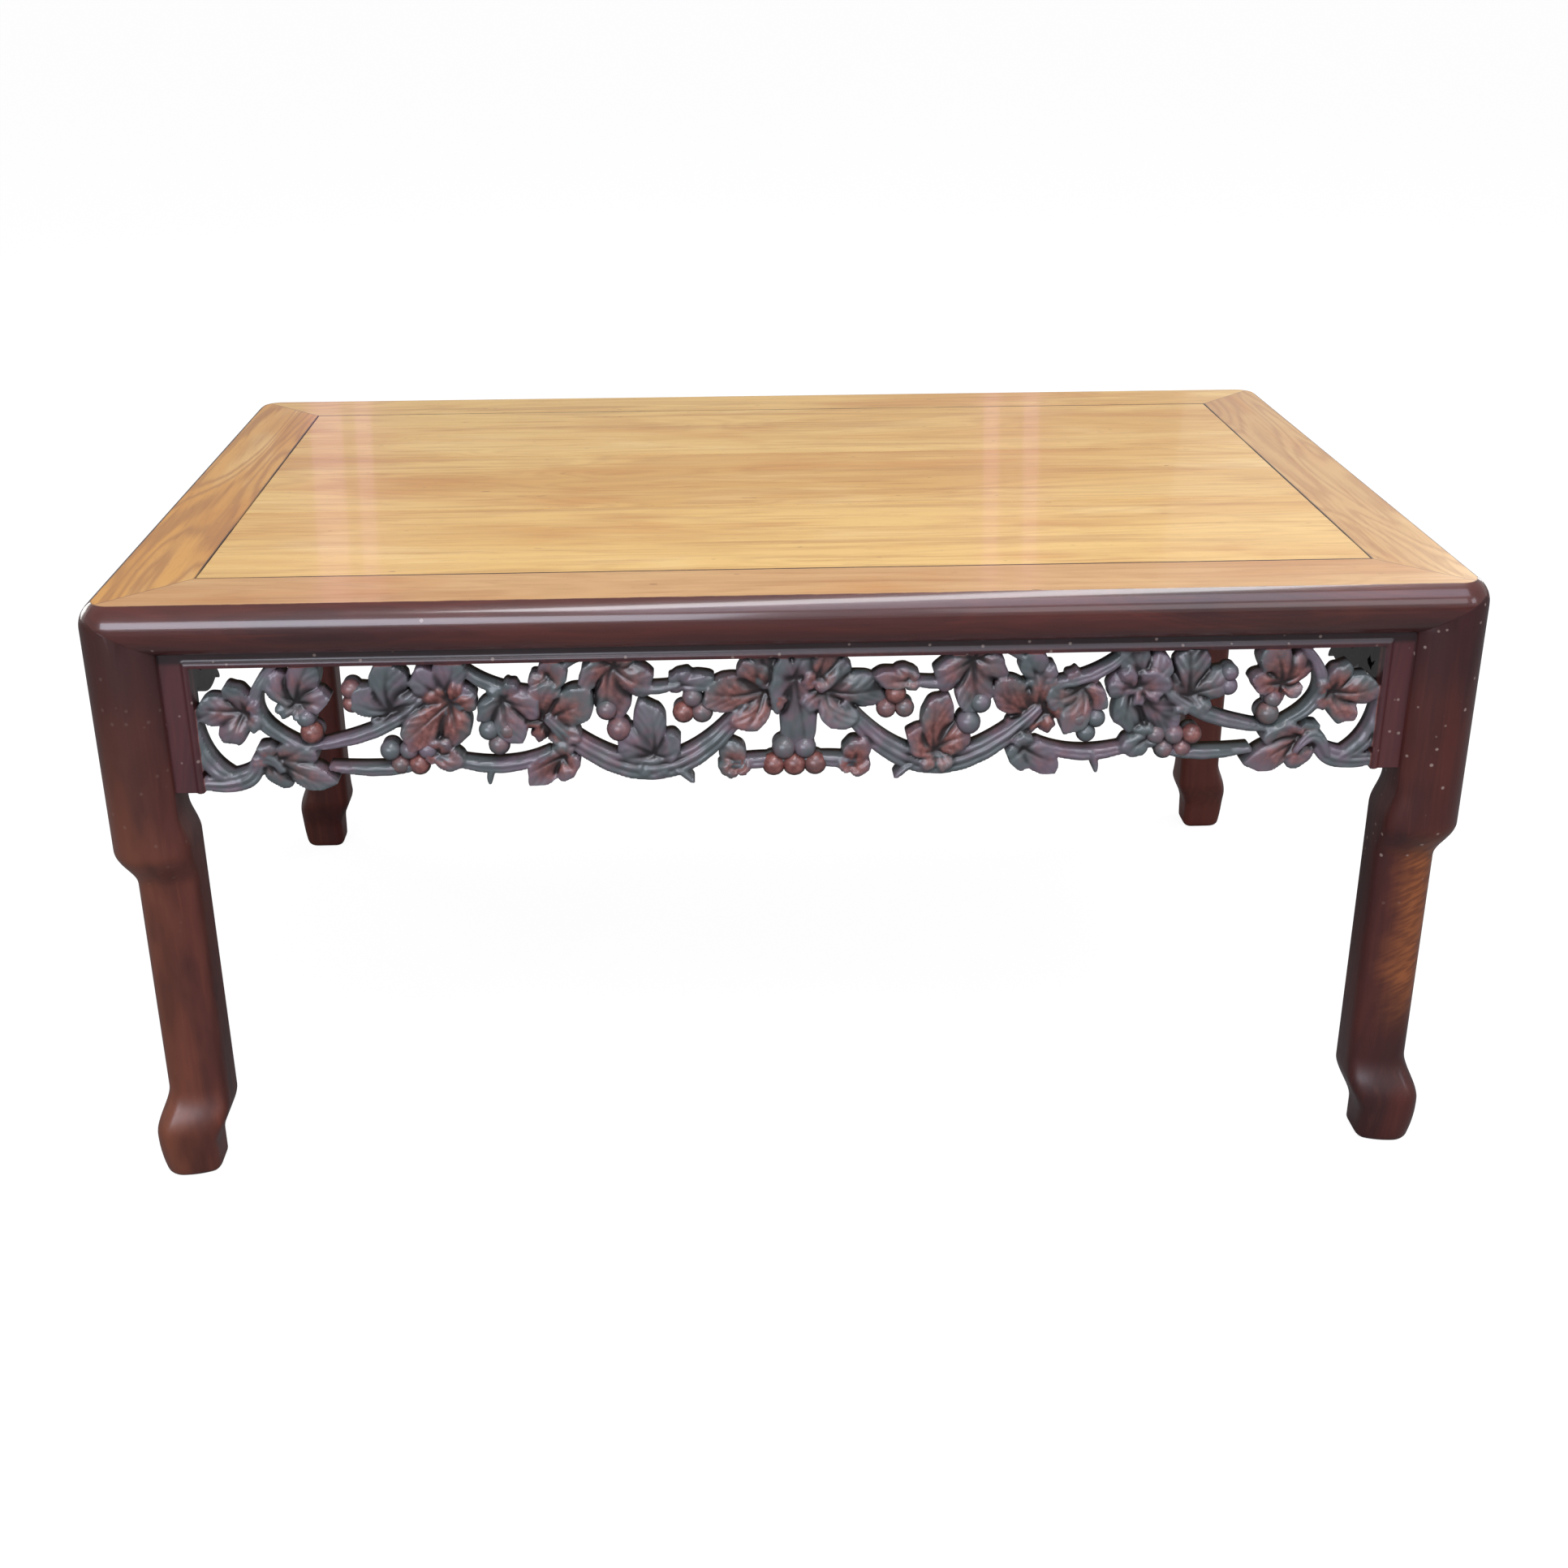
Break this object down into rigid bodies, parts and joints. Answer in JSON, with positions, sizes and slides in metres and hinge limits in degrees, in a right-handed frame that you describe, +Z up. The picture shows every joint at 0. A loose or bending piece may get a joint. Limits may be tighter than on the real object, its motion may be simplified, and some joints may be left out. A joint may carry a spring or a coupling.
{
  "type": "low altar table",
  "caption": "Low rectangular altar table with a framed floating-panel top, pierced grapevine aprons and curved legs with a turned-out foot.",
  "frame": {"origin": "on the floor under the middle of the top", "axes": "+X along the length to the right, +Y along the width to the back, +Z up"},
  "size_m": [0.96, 0.628, 0.45],
  "materials": {
    "frame_wood": "polished lacquer, honey-gold on top and dark red-brown on the rounded edge",
    "panel_wood": "polished lacquer, honey-gold with a straight grain",
    "carved_wood": "dark stain with rubbed reddish high spots",
    "leg_wood": "polished lacquer over a dark red-brown stain",
    "hidden_wood": "unpolished, lightly stained"
  },
  "bodies": {
    "root": {"rail_front": "frame_wood", "rail_back": "frame_wood", "rail_left": "frame_wood", "rail_right": "frame_wood", "panel_board_1": "panel_wood", "panel_board_2": "panel_wood", "panel_board_3": "panel_wood", "apron_front": "carved_wood", "apron_back": "carved_wood", "apron_left": "carved_wood", "apron_right": "carved_wood", "leg_front_left": "leg_wood", "leg_front_right": "leg_wood", "leg_back_left": "leg_wood", "leg_back_right": "leg_wood", "batten_1": "hidden_wood", "batten_2": "hidden_wood", "batten_3": "hidden_wood", "mitre_pin_front_left": "hidden_wood", "mitre_pin_front_right": "hidden_wood", "mitre_pin_back_left": "hidden_wood", "mitre_pin_back_right": "hidden_wood"}
  },
  "joints": []
}
